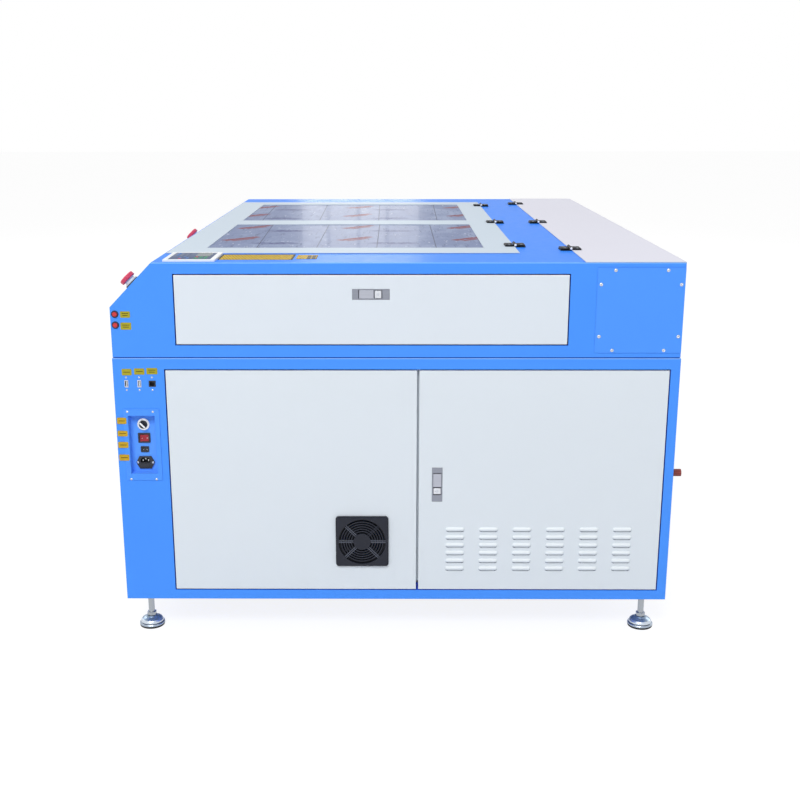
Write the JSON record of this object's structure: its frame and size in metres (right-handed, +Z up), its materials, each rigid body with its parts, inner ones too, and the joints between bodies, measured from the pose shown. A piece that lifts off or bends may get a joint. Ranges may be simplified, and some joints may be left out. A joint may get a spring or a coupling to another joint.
{
  "type": "carbon dioxide laser engraving machine",
  "caption": "Sheet-steel laser engraving machine on levelling feet, with a windowed lid over a gantry and slat bed, end doors, louvres, fan and emergency stops.",
  "frame": {"origin": "on the floor, under the middle of the bounding box", "axes": "+X towards the right-hand end with the controls, +Y to the rear, +Z up"},
  "size_m": [1.8712, 1.4515, 0.9841],
  "materials": {
    "blue_paint": "satin",
    "white_paint": "satin",
    "lid_paint": "satin",
    "cover_paint": "satin",
    "grey_steel": "satin",
    "lock_steel": "brushed",
    "bright_button": "bright",
    "black_steel": "satin",
    "black_plastic": "matte",
    "red_plastic": "gloss",
    "white_plastic": "satin",
    "belt_rubber": "matte",
    "aluminium": "satin",
    "red_anodised": "satin",
    "brass": "satin",
    "knurled_plastic": "satin",
    "acrylic": "gloss",
    "glass": "gloss",
    "electronics": "matte",
    "strut_black": "satin",
    "bright_steel": "bright",
    "foot_steel": "satin"
  },
  "bodies": {
    "chassis": {"lower_cabinet": "blue_paint", "base_frame": "grey_steel", "upper_housing": "blue_paint", "fan_panel": "white_paint", "fixed_panels": "white_paint", "tube_end_plates": "blue_paint", "power_tray": "blue_paint", "panel_fittings": "black_plastic", "mains_inlet": "black_plastic", "button_bezels": "black_plastic", "estop_collars": "white_plastic", "control_panel": "white_plastic", "fixed_hinges": "black_steel", "fan_guard": "black_plastic", "fan_frame": "black_plastic", "work_tray": "grey_steel", "bed_slats": "grey_steel", "linear_rails": "grey_steel", "drive_belts": "belt_rubber", "axis_motor": "black_steel", "laser_tube": "glass", "tube_mounting": "black_steel", "exhaust_collar": "aluminium", "hose_connectors": "knurled_plastic", "electronics": "electronics"},
    "lid": {"lid_frame": "lid_paint", "lid_windows": "acrylic", "lid_hinge_leaves": "black_steel"},
    "rear_cover": {"rear_cover": "cover_paint", "cover_hinge_leaves": "black_steel"},
    "end_door": {"end_door": "white_paint", "end_lock": "lock_steel"},
    "end_lock_paddle": {"end_lock_paddle": "lock_steel"},
    "end_lock_button": {"end_lock_button": "bright_button"},
    "service_door": {"service_door": "white_paint", "service_lock": "lock_steel"},
    "service_lock_paddle": {"service_lock_paddle": "lock_steel"},
    "service_lock_button": {"service_lock_button": "bright_button"},
    "front_door": {"front_door": "white_paint"},
    "front_cam_lock": {"front_cam_lock": "grey_steel"},
    "estop_head_right": {"estop_head_right": "red_plastic"},
    "estop_head_middle": {"estop_head_middle": "red_plastic"},
    "push_button_upper": {"push_button_upper": "red_plastic"},
    "push_button_lower": {"push_button_lower": "red_plastic"},
    "selector_knob": {"selector_knob": "black_plastic"},
    "main_rocker": {"main_rocker": "red_plastic"},
    "small_rocker": {"small_rocker": "black_plastic"},
    "fuse_drawer": {"fuse_drawer": "black_plastic"},
    "fan_rotor": {"fan_rotor": "black_plastic"},
    "gantry": {"gantry_beam": "aluminium"},
    "head": {"head_carriage": "red_anodised"},
    "lens_tube": {"lens_tube": "brass"},
    "x_pulley": {"x_pulley": "grey_steel"},
    "drive_shaft": {"drive_shaft": "grey_steel"},
    "strut_barrels": {"strut_barrels": "strut_black"},
    "strut_rods": {"strut_rods": "bright_steel"},
    "foot_front_right": {"foot_front_right": "foot_steel"},
    "foot_front_left": {"foot_front_left": "foot_steel"},
    "foot_rear_right": {"foot_rear_right": "foot_steel"},
    "foot_rear_left": {"foot_rear_left": "foot_steel"}
  },
  "joints": [
    {"name": "lid_hinge", "type": "hinge", "parent": "chassis", "child": "lid", "pos_m": [0, 0.2955, 0.9801], "axis": [-1, 0, 0], "range_deg": [0, 70]},
    {"name": "cover_hinge", "type": "hinge", "parent": "chassis", "child": "rear_cover", "pos_m": [0, 0.4325, 0.9801], "axis": [1, 0, 0], "range_deg": [0, 100]},
    {"name": "end_door_hinge", "type": "hinge", "parent": "chassis", "child": "end_door", "pos_m": [0.9245, -0.0825, 0.777], "axis": [0, 1, 0], "range_deg": [0, 90]},
    {"name": "end_lock_paddle_hinge", "type": "hinge", "parent": "end_door", "child": "end_lock_paddle", "pos_m": [0.9235, -0.1095, 0.8965], "axis": [0, 0, -1], "range_deg": [0, 55]},
    {"name": "end_lock_button_slide", "type": "slide", "parent": "end_door", "child": "end_lock_button", "axis": [-1, 0, 0], "range_m": [0, 0.0025], "stiffness_N_per_m": 300, "springref_m": -0.002},
    {"name": "service_door_hinge", "type": "hinge", "parent": "chassis", "child": "service_door", "pos_m": [0.926, 0.6475, 0.415], "axis": [0, 0, 1], "range_deg": [0, 110]},
    {"name": "service_lock_paddle_hinge", "type": "hinge", "parent": "service_door", "child": "service_lock_paddle", "pos_m": [0.925, 0.082, 0.436], "axis": [0, -1, 0], "range_deg": [0, 55]},
    {"name": "service_lock_button_slide", "type": "slide", "parent": "service_door", "child": "service_lock_button", "axis": [-1, 0, 0], "range_m": [0, 0.0025], "stiffness_N_per_m": 300, "springref_m": -0.002},
    {"name": "front_door_hinge", "type": "hinge", "parent": "chassis", "child": "front_door", "pos_m": [0.863, -0.7185, 0.415], "axis": [0, 0, 1], "range_deg": [0, 100]},
    {"name": "front_cam_turn", "type": "hinge", "parent": "front_door", "child": "front_cam_lock", "pos_m": [0.043, -0.7225, 0.524], "axis": [0, -1, 0], "range_deg": [0, 90]},
    {"name": "estop_right_press", "type": "slide", "parent": "chassis", "child": "estop_head_right", "axis": [0, 0.7169, -0.6972], "range_m": [0, 0.004]},
    {"name": "estop_middle_press", "type": "slide", "parent": "chassis", "child": "estop_head_middle", "axis": [0, 0.7169, -0.6972], "range_m": [0, 0.004]},
    {"name": "push_button_upper_press", "type": "slide", "parent": "chassis", "child": "push_button_upper", "axis": [-1, 0, 0], "range_m": [0, 0.0025], "stiffness_N_per_m": 300, "springref_m": -0.002},
    {"name": "push_button_lower_press", "type": "slide", "parent": "chassis", "child": "push_button_lower", "axis": [-1, 0, 0], "range_m": [0, 0.0025], "stiffness_N_per_m": 300, "springref_m": -0.002},
    {"name": "selector_turn", "type": "hinge", "parent": "chassis", "child": "selector_knob", "pos_m": [0.91, -0.6585, 0.564], "axis": [1, 0, 0], "range_deg": [0, 90]},
    {"name": "main_rocker_tilt", "type": "hinge", "parent": "chassis", "child": "main_rocker", "pos_m": [0.909, -0.6585, 0.528], "axis": [0, 0, -1], "range_deg": [0, 18]},
    {"name": "small_rocker_tilt", "type": "hinge", "parent": "chassis", "child": "small_rocker", "pos_m": [0.909, -0.6585, 0.498], "axis": [0, 0, -1], "range_deg": [0, 18]},
    {"name": "fuse_drawer_slide", "type": "slide", "parent": "chassis", "child": "fuse_drawer", "axis": [1, 0, 0], "range_m": [0, 0.015]},
    {"name": "fan_spin", "type": "hinge", "parent": "chassis", "child": "fan_rotor", "pos_m": [0.9, -0.109, 0.258], "axis": [1, 0, 0], "continuous": true},
    {"name": "gantry_slide", "type": "slide", "parent": "chassis", "child": "gantry", "axis": [0, 1, 0], "range_m": [-0.82, 0]},
    {"name": "head_slide", "type": "slide", "parent": "gantry", "child": "head", "axis": [1, 0, 0], "range_m": [-1.3, 0]},
    {"name": "focus_slide", "type": "slide", "parent": "head", "child": "lens_tube", "axis": [0, 0, 1], "range_m": [-0.012, 0.01]},
    {"name": "head_pulley_turn", "type": "hinge", "parent": "gantry", "child": "x_pulley", "pos_m": [0.756, 0.3485, 0.895], "axis": [0, 0, 1], "range_deg": [-5605, 5]},
    {"name": "drive_shaft_turn", "type": "hinge", "parent": "chassis", "child": "drive_shaft", "pos_m": [0, 0.3625, 0.8], "axis": [1, 0, 0], "range_deg": [-5, 2721]},
    {"name": "strut_swing", "type": "hinge", "parent": "chassis", "child": "strut_barrels", "pos_m": [0, -0.2825, 0.922], "axis": [1, 0, 0], "range_deg": [-0.5, 24.75]},
    {"name": "strut_extend", "type": "slide", "parent": "strut_barrels", "child": "strut_rods", "axis": [0, 0.9962, 0.0867], "range_m": [-0.001, 0.19391]},
    {"name": "foot_front_right_turn", "type": "hinge", "parent": "chassis", "child": "foot_front_right", "pos_m": [0.88, -0.6725, 0.06], "axis": [0, 0, 1], "range_deg": [-360, 360]},
    {"name": "foot_front_left_turn", "type": "hinge", "parent": "chassis", "child": "foot_front_left", "pos_m": [-0.88, -0.6725, 0.06], "axis": [0, 0, 1], "range_deg": [-360, 360]},
    {"name": "foot_rear_right_turn", "type": "hinge", "parent": "chassis", "child": "foot_rear_right", "pos_m": [0.88, 0.6275, 0.06], "axis": [0, 0, 1], "range_deg": [-360, 360]},
    {"name": "foot_rear_left_turn", "type": "hinge", "parent": "chassis", "child": "foot_rear_left", "pos_m": [-0.88, 0.6275, 0.06], "axis": [0, 0, 1], "range_deg": [-360, 360]}
  ],
  "couplings": [
    {"joint": "drive_shaft_turn", "follows": "gantry_slide", "rad_per_m": -57.803},
    {"joint": "head_pulley_turn", "follows": "head_slide", "rad_per_m": 75.188},
    {"joint": "strut_swing", "follows": "lid_hinge", "ratio": 0.34639},
    {"joint": "strut_extend", "follows": "lid_hinge", "m_per_rad": 0.1579}
  ]
}
